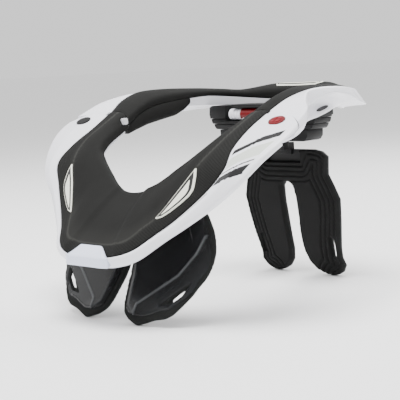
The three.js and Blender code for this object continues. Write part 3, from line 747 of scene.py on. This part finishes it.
def plainMarks(piece):  # padding without ribs and without the painted highlight along the crease
    for name in ("panel", "fold"):
        setMark(piece, name, [0.0] * len(piece.data.vertices))


def dressed(piece, slotName, nodes, fill=None):
    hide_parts(*nodes)
    return piece


steps = shared.ringSteps * 2
sides = {"Left": 1, "Right": -1}
reach = Sizes(wide=200, far=490, high=300)  # past the collar on every side


def beforeSeam(half):  # what is cut off the front of the rear half
    return block((-half, -reach.far, 0), (half, collar.seam + gap / 2, reach.high))


def frontRooms():  # what is cut off both layers of the front half
    behindSeam = block((-reach.wide, collar.seam - gap / 2, 0), (reach.wide, reach.far, reach.high))
    return [badgeBody(gap), behindSeam, seamTab(1, gap), seamTab(-1, gap)]


# Front padding
frontPad = newPiece("frontPad", sweep(frontPadRing, steps), "front", padPaint.material)
carve(frontPad, frontRooms())
reshade(frontPad)
marking = Sizes(
    stations=200, rows=14, panel=(3, 13),  # the rows of the side panel
    fold=((-1, 0.3), (0, 1), (1, 0.8), (2, 0.2)),  # distances past the crease and how strong the painted highlight is there
    frameStations=400, frameRows=16, underRim=(2, 4),
)
stations, rows = marking.stations, marking.rows
samples = []
for i in range(stations + 1):
    at = frontAt(i / stations)
    neck, crease, edge = at["neck"], at["crease"], at["edge"]
    outward = (edge - crease).normalized()
    samples += [(mix(neck, crease, k / rows), (0, 0)) for k in range(rows)]
    # A painted highlight along the crease, strongest on it and fading outward.
    samples += [(crease + outward * distance, (0, wearAndHighlight)) for distance, wearAndHighlight in marking.fold]
    samples += [(mix(crease, edge, k / rows), (1, 0)) for k in range(*marking.panel)]
    samples.append((edge, (0, 0)))
setMarks(frontPad, ("panel", "fold"), samples)
dressed(frontPad, "padding", ["front_pad"], 0.95)
print("front padding")

# Rear padding
rearPad = newPiece("rearPad", sweep(rearPadRing, steps), "rear", padPaint.material)
carve(rearPad, [beforeSeam(reach.wide)])
reshade(rearPad)
plainMarks(rearPad)
dressed(rearPad, "padding", ["rear_pad"], 0.95)
print("rear padding")

# Front frame
inner, far, clear = -lap.disc - 5 * gap, lap.far, lap.clear
pocket = [(inner, -lap.pocketFront), (far, -lap.pocketFront), (far, far), (inner, far)]
behind = [*lugBoundary(0), (far, lap.back - 18), (far, far), (lap.inside, far)]
capWell = circlePoints(lap.capLong + gap, lap.capShort + gap)
frontFrame = newPiece("frontFrame", sweep(frontFrameRing, steps), "front", barPaint.material)
cutters = [lapSolid(pocket, -clear, gap, side) for side in (1, -1)]
cutters += [lapSolid(behind, -clear, clear, side) for side in (1, -1)]
cutters += [lapSolid(capWell, capFloor(side), clear, side) for side in (1, -1)]
cutters += [lapSolid(circlePoints(lap.pin + gap, lap.pin + gap), -clear, clear, -1)]
carve(frontFrame, cutters + frontRooms())
reshade(frontFrame, 30)
stations, rows = marking.frameStations, marking.frameRows
samples = []
for i in range(stations + 1):
    at = frontAt(0.5 + i / (2 * stations))
    for k in range(rows + 1):
        share = k / rows
        bulge = at["down"] * collar.frameBulge * 2 * min(share, 1 - share)
        samples.append((mix(at["edge"], at["rim"], share) - bulge, (i / stations, share)))
    samples += [(at["rim"] + at["down"] * distance, (0, 1)) for distance in marking.underRim]
samples += [(Vector((-p.x, p.y, p.z)), (0, 0)) for p, _ in samples]
setMarks(frontFrame, ("along", "across"), samples)
dressed(frontFrame, "shell", ["front_frame"])
print("front frame")

# Rear frame
rearFrame = newPiece("rearFrame", sweep(rearFrameRing, steps), "rear", shellPaint.material)
turns = np.arange(0, shared.openAngle + 1, lap.turnStep)
swung = [(-far, -far), (far, -far), (far, -lap.swing), (-far, -lap.swing)]
cutters = [beforeSeam(lap.offset - lap.disc),
           lapSolid(swung, -clear, clear, -1),
           lapSolid(lugReach(lap.lugGap), -gap, clear, 1)]
cutters += [lapSolid(lugReach(lap.lugGap), -gap, clear, -1, turn) for turn in turns]
for side in (1, -1):
    cutters += [shoulderPad(side, gap), shoulderPad(side, 0.1)]
carve(rearFrame, cutters)
discs = [lapSolid(circlePoints(lap.disc, lap.disc, 72), -lap.discThick, -gap, side) for side in (1, -1)]
discs.append(lapSolid(circlePoints(lap.pin, lap.pin), -lap.discThick, capFloor(-1) - gap, -1))
carve(rearFrame, discs, "UNION")
reshade(rearFrame, 30)
dressed(rearFrame, "shell", ["rear_frame"])
print("rear frame")

# A dark oval piece in the arch under each rear arm: painted shade that stands in for the shadow inside the
# oval hole there
holeShade = Sizes(
    start=(109, 34.5, 173.5), stop=(102.3, 59.2, 176.3), outward=(0.74, 0.1, 0.66),
    wide=3.2, high=0.9, sunk=1.5, belly=0.25,
)
begin, end = Vector(holeShade.start), Vector(holeShade.stop)
run = (end - begin).normalized()
out = Vector(holeShade.outward)
out = (out - run * out.dot(run)).normalized()
turn = Matrix((run, out.cross(run), out)).transposed().to_4x4()
half = (end - begin).length / 2
oval = circlePoints(half, holeShade.wide / 2, 40)
oval = [(x * (1 + holeShade.belly * (1 - abs(x) / half)), y) for x, y in oval]
for name, side in sides.items():
    bm = prism(oval, -holeShade.sunk, holeShade.high, Matrix.Translation((begin + end) / 2) @ turn)
    bmesh.ops.scale(bm, vec=(side, 1, 1), verts=bm.verts[:])
    piece = newPiece("holeShadeOval" + name, bm, "rear", nylonPaint.material)

# Shoulder pads, tabs in the seam
for name, side in sides.items():
    pad = newPiece("shoulderPad" + name, shoulderPad(side), "rear", padPaint.material, 50)
    plainMarks(pad)
    dressed(pad, "padding", ["shoulder_pad_" + name.lower()], 0.9)
    bm = seamTab(side)
    bmesh.ops.bevel(bm, geom=bm.edges[:], offset=tab.bevel, segments=3, affect="EDGES")
    dressed(newPiece("seamTab" + name, bm, "front", tabPaint.material), "shell", ["seam_tab_" + name.lower()])
print("shoulder pads")

# Badge
badgeMesh = badgeBody(0, 4, 1.6, fine=True)
dressed(newPiece("badge", badgeMesh, "front", badgePaint.material, 30), "badge", ["front_badge"])


# Release button and the cap over the hinge pin
def ovalCap(crown, side):
    cap = prism(circlePoints(lap.capLong, lap.capShort, 56), lap.top - lap.capThick, lap.top)
    top = max(cap.faces, key=lambda f: f.calc_center_median().z)
    for width, rise in ((0.5, 0.25), (1.2, 0.2), (2.2, 0.1)):
        bmesh.ops.inset_region(cap, faces=[top], thickness=width)
        bmesh.ops.translate(cap, vec=(0, 0, rise * crown), verts=top.verts[:])
    bmesh.ops.transform(cap, matrix=lapMatrix(side), verts=cap.verts[:])
    return cap


button = newPiece("releaseButton", ovalCap(0.7, 1), "button", redPaint.material, 40)
dressed(button, "button", ["release_button"])
grips = Sizes(corners=[(0.9, 0.8), (5.2, 0.8), (3.8, 3.4), (0.9, 4.3)], low=5.6, high=7.1, round=0.7)
for i, (a, b) in enumerate(((1, 1), (-1, 1), (1, -1), (-1, -1))):
    corners = rounded([(a * x, b * y) for x, y in grips.corners], grips.round)
    raised = lapSolid(corners, grips.low, grips.high, 1)
    grip = newPiece("buttonPad%d" % (i + 1), raised, "button", palePaint.material)
dressed(newPiece("hingeCap", ovalCap(0.5, -1), "front", nylonPaint.material, 40), "nylon", ["hinge_cap"])
print("badge and buttons")

# Inserts: outlines over the side panels as (row, share of the way to the edge), and over the table
inserts = Sizes(
    front=[
        (5.9, 0.03), (5.55, 0.28), (5.1, 0.54), (4.85, 0.6), (4.55, 0.56), (4.2, 0.44), (3.95, 0.3),
        (3.84, 0.1), (3.88, 0.03),
    ],
    frontScale=(19, 23),
    rear=[(-32, 0.62), (-29, 0.34), (0, 0.3), (29, 0.34), (32, 0.62), (30, 0.9), (0, 0.93), (-30, 0.9)],
    rearScale=(1, 17),
    step=0.5,
    lift=1.1, rearLift=0.7, sunk=0.6, round=0.9, fall=0.8, corner=1.2,
)


def insertOn(name, outline, scale, lift, skin, body):
    wide, tall = scale
    flat = rounded([(x * wide, y * tall) for x, y in outline], inserts.corner)
    bm = gridFace(flat, [], inserts.step)
    behind = set(bm.verts[:])
    bmesh.ops.extrude_face_region(bm, geom=bm.faces[:], use_keep_orig=True)
    rims = []
    for v in bm.verts:
        rim = nearestOn(flat, np.array([v.co[:2]]))[0]
        rims.append(float(rim[0]))
        fall = float(roundEdge(rim, inserts.round)[0]) * inserts.fall
        height = -inserts.sunk if v in behind else lift - fall
        v.co = skin(v.co.x / wide, v.co.y / tall, height)
    piece = newPiece(name, bm, body, insertPaint.material)
    setMark(piece, "rim", rims)
    return piece


def panelSkin(side):
    def skin(row, share, height):
        at = frontAt(0.5 + row / (2 * (len(frontRows["neck"]) - 1)))
        crown = collar.padCrown * 0.8 * min(share, 1 - share)
        p = mix(at["crease"], at["edge"], share) - at["down"] * (crown + height)
        return Vector((side * p.x, p.y, p.z))
    return skin


def tableSkin(x, share, height):
    at = rearAt(lastWhere(lambda place: railPoint(rearRails["crest"], place).x < abs(x), 0.5, 0.7, 30))
    p = mix(at["neck"], at["crest"], share) + up * (collar.padCrown * 1.6 * min(share, 1 - share) + height)
    return Vector((math.copysign(p.x, x), p.y, p.z))


for name, side in sides.items():
    shape = inserts.front, inserts.frontScale, inserts.lift
    dressed(insertOn("frontInsert" + name, *shape, panelSkin(side), "front"), "insert",
            ["front_insert_" + name.lower()])
shape = inserts.rear, inserts.rearScale, inserts.rearLift
dressed(insertOn("rearInsert", *shape, tableSkin, "rear"), "insert", ["rear_insert"])
print("inserts")

# Chest plates on their foam
chest = Sizes(
    plate=[
        (3.5, 66), (5.4, 50), (8.2, 36.7), (12, 21), (15, 12.5), (20.5, 9.3), (28, 8.4), (38.5, 8),
        (46, 10.4), (55.5, 14), (66, 16), (72.5, 22), (79.5, 26.4), (84, 32.2), (86, 39.5), (91.5, 47),
        (93.5, 55.4), (93, 66), (90, 77), (86, 88), (79, 99), (68, 118), (54, 116), (20, 105), (3.5, 101),
    ],
    pad=[
        (2.5, 66), (2.5, 48), (4, 34), (8.5, 15.4), (12, 8.5), (20, 3.6), (30, 0.5), (34.6, 0), (41, 2),
        (51, 5.5), (62, 7.4), (68.5, 11), (75, 18), (82, 26.5), (84.5, 32), (90, 40), (93.5, 50),
        (94.5, 62), (93, 73), (90, 82), (85, 92), (79, 100), (67, 112), (54, 110), (20, 94), (2.5, 91),
    ],
    slot=[(52.5, 18.5), (64, 19.5), (74, 27), (78, 37.5), (67, 29.5), (60, 24.5)],
    padSlot=[(61, 20.8), (69, 21.5), (78.5, 28.5), (81.3, 36), (73, 31), (67, 26.8)],
    lean=[(0, -133.5), (20, -121.5), (40, -109), (60, -101), (80, -97.5), (100, -96), (125, -95)],
    curve=0.0004,
    thick=3,
    padThick=8,
    bevel=[(3.5, 90), (11.6, 51.1), (17.9, 16.9), (28.2, 9.3)],  # the face slopes away outside this line
    bead=[(27.5, 9.2), (28.1, 17.8), (64.9, 43.2), (80, 62), (88.5, 76.9)],
    groove=[(66.3, 86.6), (69.4, 80), (72.9, 72)],
    round=1.3, padRound=2.2, backRound=4,
    bevelSlope=0.28, bevelDrop=1.3,
    beadHigh=0.8, beadHalf=1.5, lowSlope=0.14, lowDrop=1.9,  # the face is lower below the bead
    grooveDeep=1.1, grooveHalf=1.3,
    lineHalf=1.6, lineShade=0.8, bevelShade=0.35, lowReach=22,  # where the colour changes: a painted highlight along the bead and the bevel, and a painted reflection that lightens the plate below the bead
    angle=42,
)


def smoothLean(table):  # a table of heights and depths as a soft curve
    reach, count, window, straight = 15, 600, 61, 40
    z, y = np.array(table).T
    fine = np.linspace(z[0] - reach, z[-1] + reach, count)
    bent = np.interp(fine, z, y)
    bent = np.where(fine < z[0], y[0] + (fine - z[0]) * (y[1] - y[0]) / (z[1] - z[0]), bent)
    kernel = np.hanning(window)
    soft = np.convolve(np.pad(bent, window // 2, mode="edge"), kernel / kernel.sum(), mode="valid")
    soft[:straight], soft[-straight:] = bent[:straight], bent[-straight:]
    return lambda height: np.interp(height, fine, soft)


chestLean = smoothLean(chest.lean)


def chestFace(x, z):
    return chestLean(z) + chest.curve * x * x


def plateFront(spots, rim):
    fall = roundEdge(rim, chest.round)
    off, _, side = nearestOn(chest.bevel, spots, False)
    fall = fall + np.where(side < 0, np.minimum(off * chest.bevelSlope, chest.bevelDrop), 0)
    bead, _, above = nearestOn(chest.bead, spots, False)
    fall = fall - chest.beadHigh * np.clip(1 - bead / chest.beadHalf, 0, 1)
    fall = fall + np.minimum(bead * chest.lowSlope, chest.lowDrop) * (above < 0)
    cut = nearestOn(chest.groove, spots, False)[0]
    return fall + chest.grooveDeep * smoothStep(1.4 - cut / chest.grooveHalf)


under = []
for piece, drop in ((frontFrame, 0.5), (frontFrame, 2), (frontPad, 0.5)):
    tool = bpy.data.objects.new("cutter", piece.data.copy())
    tool.data.transform(Matrix.Translation((0, 0, -drop * mm)))
    bpy.context.scene.collection.objects.link(tool)
    under.append(tool)


def underFrame(piece):  # cuts off what reaches into the frame, and keeps the lowest part of the rest
    crumb = 50  # parts with no more points than this are crumbs of the cut
    cutWith(piece, under)
    bm = bmesh.new()
    bm.from_mesh(piece.data)
    left = set(bm.verts)
    groups = []
    while left:
        group, edge = set(), [left.pop()]
        while edge:
            v = edge.pop()
            group.add(v)
            fresh = [e.other_vert(v) for e in v.link_edges if e.other_vert(v) in left]
            left.difference_update(fresh)
            edge += fresh
        groups.append(group)
    lowest = min((g for g in groups if len(g) > crumb), key=lambda g: min(v.co.z for v in g))
    bmesh.ops.delete(bm, geom=[v for v in bm.verts if v not in lowest], context="VERTS")
    shadeEdges(bm, chest.angle)
    bm.to_mesh(piece.data)
    bm.free()
    return piece


def flatBack(depth):
    return lambda spots, rim: np.full(len(spots), float(depth))


padHigh = chest.thick + gap
plateShape = reliefSlab(rounded(chest.plate, 2.5), [rounded(chest.slot, 1.5)], chestFace, plateFront,
                        flatBack(chest.thick), shared.slabStep)
padShape = reliefSlab(rounded(chest.pad, 2.5), [rounded(chest.padSlot, 1.2)], chestFace,
                      lambda spots, rim: padHigh + roundEdge(rim, chest.padRound),
                      lambda spots, rim: padHigh + chest.padThick - roundEdge(rim, chest.backRound),
                      shared.slabStep)
for name, side in sides.items():
    for kind, shape, paint, slotName, fill in (("Plate", plateShape, platePaint, "chest_plate", None),
                                               ("Pad", padShape, chestFoam, "chest_padding", 0.95)):
        bm = shape.copy() if side > 0 else mirrorCopy(shape)
        piece = underFrame(newPiece("chest" + kind + name, bm, "front", paint.material, chest.angle))
        dressed(piece, slotName, ["chest_%s_%s" % (kind.lower(), name.lower())], fill)
        spots = np.array([(abs(v.co.x) / mm, v.co.z / mm) for v in piece.data.vertices])
        bead, _, above = nearestOn(chest.bead, spots, False)
        bevel = nearestOn(chest.bevel, spots, False)[0]
        # A painted highlight along the bead and, weaker, along the bevel; a painted reflection that lightens
        # the plate below the bead.
        line = np.maximum(np.clip(chest.lineHalf - bead, 0, 1),
                          chest.bevelShade * np.clip(chest.lineHalf - bevel, 0, 1))
        low = smoothStep(bead / chest.lowReach) * (above < 0)
        for mark, values in (("line", line * chest.lineShade), ("below", low)):
            setMark(piece, mark, values.astype(np.float32))
discard(under)
print("chest plates")

# Strut: its padding with terraces, its plate
strut = Sizes(
    outer=[
        (22, 131), (40, 131), (49, 129), (54.5, 124), (51, 106), (55.5, 95), (60.5, 81), (58, 60),
        (52.5, 30), (51.5, 20), (53.5, 12), (48.5, 4.5), (42, 1),
    ],
    inner=[
        (36.7, 0), (29, 1.4), (20, 6), (13, 14), (9.5, 26), (9, 40), (10, 79), (8.4, 93), (5, 97),
        (0, 98),
    ],
    notch=(22, 118),
    slot=[(42.5, 21), (47.2, 20), (48.6, 40.5), (44, 41.5)],
    lean=[(0, 138.5), (21.4, 131), (41.2, 125.5), (80.8, 119), (131, 108.5)],
    pad=6,
    terraceStart=[(0, 117.9), (22, 117.9), (30, 131)],
    terraces=(4.2, 9.2, 14.2, 19.4),
    rise=0.55, riseSoft=0.9,
    groove=1.5, grooveHalf=1.3,
    round=1.8,
)
strutLean = smoothLean(strut.lean)
half = strut.outer + strut.inner
mirrored = [(-x, z) for x, z in reversed(half)]
padLine = [strut.notch] + half + mirrored[1:] + [(-strut.notch[0], strut.notch[1])]
terraceLine = strut.terraceStart + strut.outer[1:]  # the terraces follow this line inward


def strutFront(spots, rim):
    spots = np.abs(spots * (1, 0)) + spots * (0, 1)
    off = nearestOn(terraceLine, spots, False)[0]
    high = sum(smoothStep((off - step) / strut.riseSoft + 0.5) for step in strut.terraces)
    groove = sum(np.clip(1 - np.abs(off - step) / strut.grooveHalf, 0, 1) ** 0.7 for step in strut.terraces)
    return strut.rise * (len(strut.terraces) - high) + strut.groove * groove + roundEdge(rim, strut.round)


strutHoles = [rounded(strut.slot, 1), rounded([(-x, z) for x, z in reversed(strut.slot)], 1)]
padShape = reliefSlab(rounded(padLine, 1.6), strutHoles, lambda x, z: strutLean(z), strutFront,
                      flatBack(strut.pad), shared.slabStep * 0.75)
dressed(newPiece("strutPad", padShape, "strut", strutFoam.material, 40), "strut_padding", ["strut_pad"], 0.95)
print("strut")


def bevelled(name, node, body, width, angle=32):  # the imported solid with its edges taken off
    bm = bmesh.new()
    bm.from_mesh(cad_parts[node].data)
    bmesh.ops.remove_doubles(bm, verts=bm.verts[:], dist=0.01 * mm)
    bmesh.ops.dissolve_limit(bm, angle_limit=math.radians(2), verts=bm.verts[:], edges=bm.edges[:])
    bmesh.ops.scale(bm, vec=(1 / mm,) * 3, verts=bm.verts[:])
    piece = newPiece(name, bm, body, nylonPaint.material, angle, outward=False)
    modifier = piece.modifiers.new("edges", "BEVEL")
    modifier.width, modifier.segments, modifier.angle_limit = width * mm, 2, math.radians(angle)
    modifier.use_clamp_overlap = True
    bake(piece)
    reshade(piece, angle)
    return dressed(piece, "nylon", [node])


for name, node, width in (("carriage", "carriage", 0.9), ("layerUpper", "carriage_layer_upper", 0.8),
                          ("layerLower", "carriage_layer_lower", 0.8), ("hingeBox", "hinge_box", 0.9)):
    bevelled(name, node, "rear", width)
bevelled("strutPlate", "strut_plate", "strut", 0.7)

# Adjuster
adjuster = Sizes(
    at=(89.5, 168), radius=5.5, core=3, half=45, sleeve=29, sleeveRadius=5.75,
    grooves=(33, 37, 41), grooveDeep=0.7, grooveTop=0.8, grooveFloor=0.5, round=0.6,
)


def turned(profile, name, paint, slotName, node):  # places along X and radii, spun
    bm = bmesh.new()
    y, z = adjuster.at
    verts = [bm.verts.new((x, y, z + radius)) for x, radius in profile]
    edges = [bm.edges.new(pair) for pair in zip(verts, verts[1:])]
    bmesh.ops.spin(bm, geom=verts + edges, cent=(0, y, z), axis=(1, 0, 0), angle=2 * math.pi, steps=48,
                   use_duplicate=False)
    bmesh.ops.remove_doubles(bm, verts=bm.verts[:], dist=shared.weld)
    return dressed(newPiece(name, bm, "rear", paint.material, 40), slotName, [node])


half, radius, core, sleeve = adjuster.half, adjuster.radius, adjuster.core, adjuster.sleeve
top, floor, soft = adjuster.grooveTop, adjuster.grooveFloor, adjuster.round
ends = [(half, 0.01), (half, radius - 1), (half - 1, radius)]
for groove in reversed(adjuster.grooves):
    deep = radius - adjuster.grooveDeep
    ends += [(groove + top, radius), (groove + floor, deep), (groove - floor, deep), (groove - top, radius)]
ends += [(sleeve + 1, radius), (sleeve + gap, radius - soft), (sleeve + gap, core)]
turned(ends + [(-x, r) for x, r in reversed(ends)], "adjusterShaft", shellPaint, "shell", "adjuster_shaft")
tube = adjuster.sleeveRadius
wall = [(sleeve, core + gap), (sleeve, tube - soft), (sleeve - soft, tube)]
wall += [(-x, r) for x, r in reversed(wall)]
turned(wall + [wall[0]], "adjusterSleeve", redPaint, "button", "adjuster_sleeve")
print("carriage and adjuster")

# Floor, light and camera
look = Sizes(
    camera=(0.78336, -0.81068, 0.22197),
    right=(0.7184, 0.6938, -0.0499),
    upward=(-0.0436, 0.1165, 0.9922),
    forward=(-0.6942, 0.7107, -0.1139),
    lens=108,
    world=1.1,
    floor=(0.96, 0.96, 0.96), floorHalf=30000, floorDrop=0.3,
    target=(0, 0, 0.1),  # the lamps point here
    lamps=[  # name, place, power, size
        ("key", (0.1, -0.3, 1.6), 48, 0.9),
        ("fill", (-1.3, -0.7, 0.9), 8, 1.2),
        ("back", (-0.2, 1.2, 1.2), 18, 1.0),
    ],
)
floorMesh = bmesh.new()
bmesh.ops.create_grid(floorMesh, x_segments=1, y_segments=1, size=look.floorHalf)
bmesh.ops.translate(floorMesh, vec=(0, 0, -look.floorDrop), verts=floorMesh.verts[:])
floorPaint = Paint("pale floor", look.floor, 0.9)
newPiece("floor", floorMesh, None, floorPaint.material, outward=False)

world = bpy.data.worlds.new("studio")
bpy.context.scene.world = world
world.use_nodes = True
world.node_tree.nodes["Background"].inputs["Color"].default_value = (1, 1, 1, 1)
world.node_tree.nodes["Background"].inputs["Strength"].default_value = look.world
for name, place, power, size in look.lamps:
    lamp = bpy.data.lights.new(name, "AREA")
    lamp.energy, lamp.size = power, size
    holder = bpy.data.objects.new(name, lamp)
    holder.location = place
    holder.rotation_euler = (Vector(look.target) - Vector(place)).to_track_quat("-Z", "Y").to_euler()
    bpy.context.scene.collection.objects.link(holder)

camera = bpy.data.objects.new("camera", bpy.data.cameras.new("camera"))
camera.data.lens, camera.data.sensor_width = look.lens, 36
axes = Matrix((look.right, look.upward, [-v for v in look.forward])).transposed()
camera.matrix_world = Matrix.Translation(look.camera) @ axes.to_4x4()
bpy.context.scene.collection.objects.link(camera)
bpy.context.scene.camera = camera

print("done")
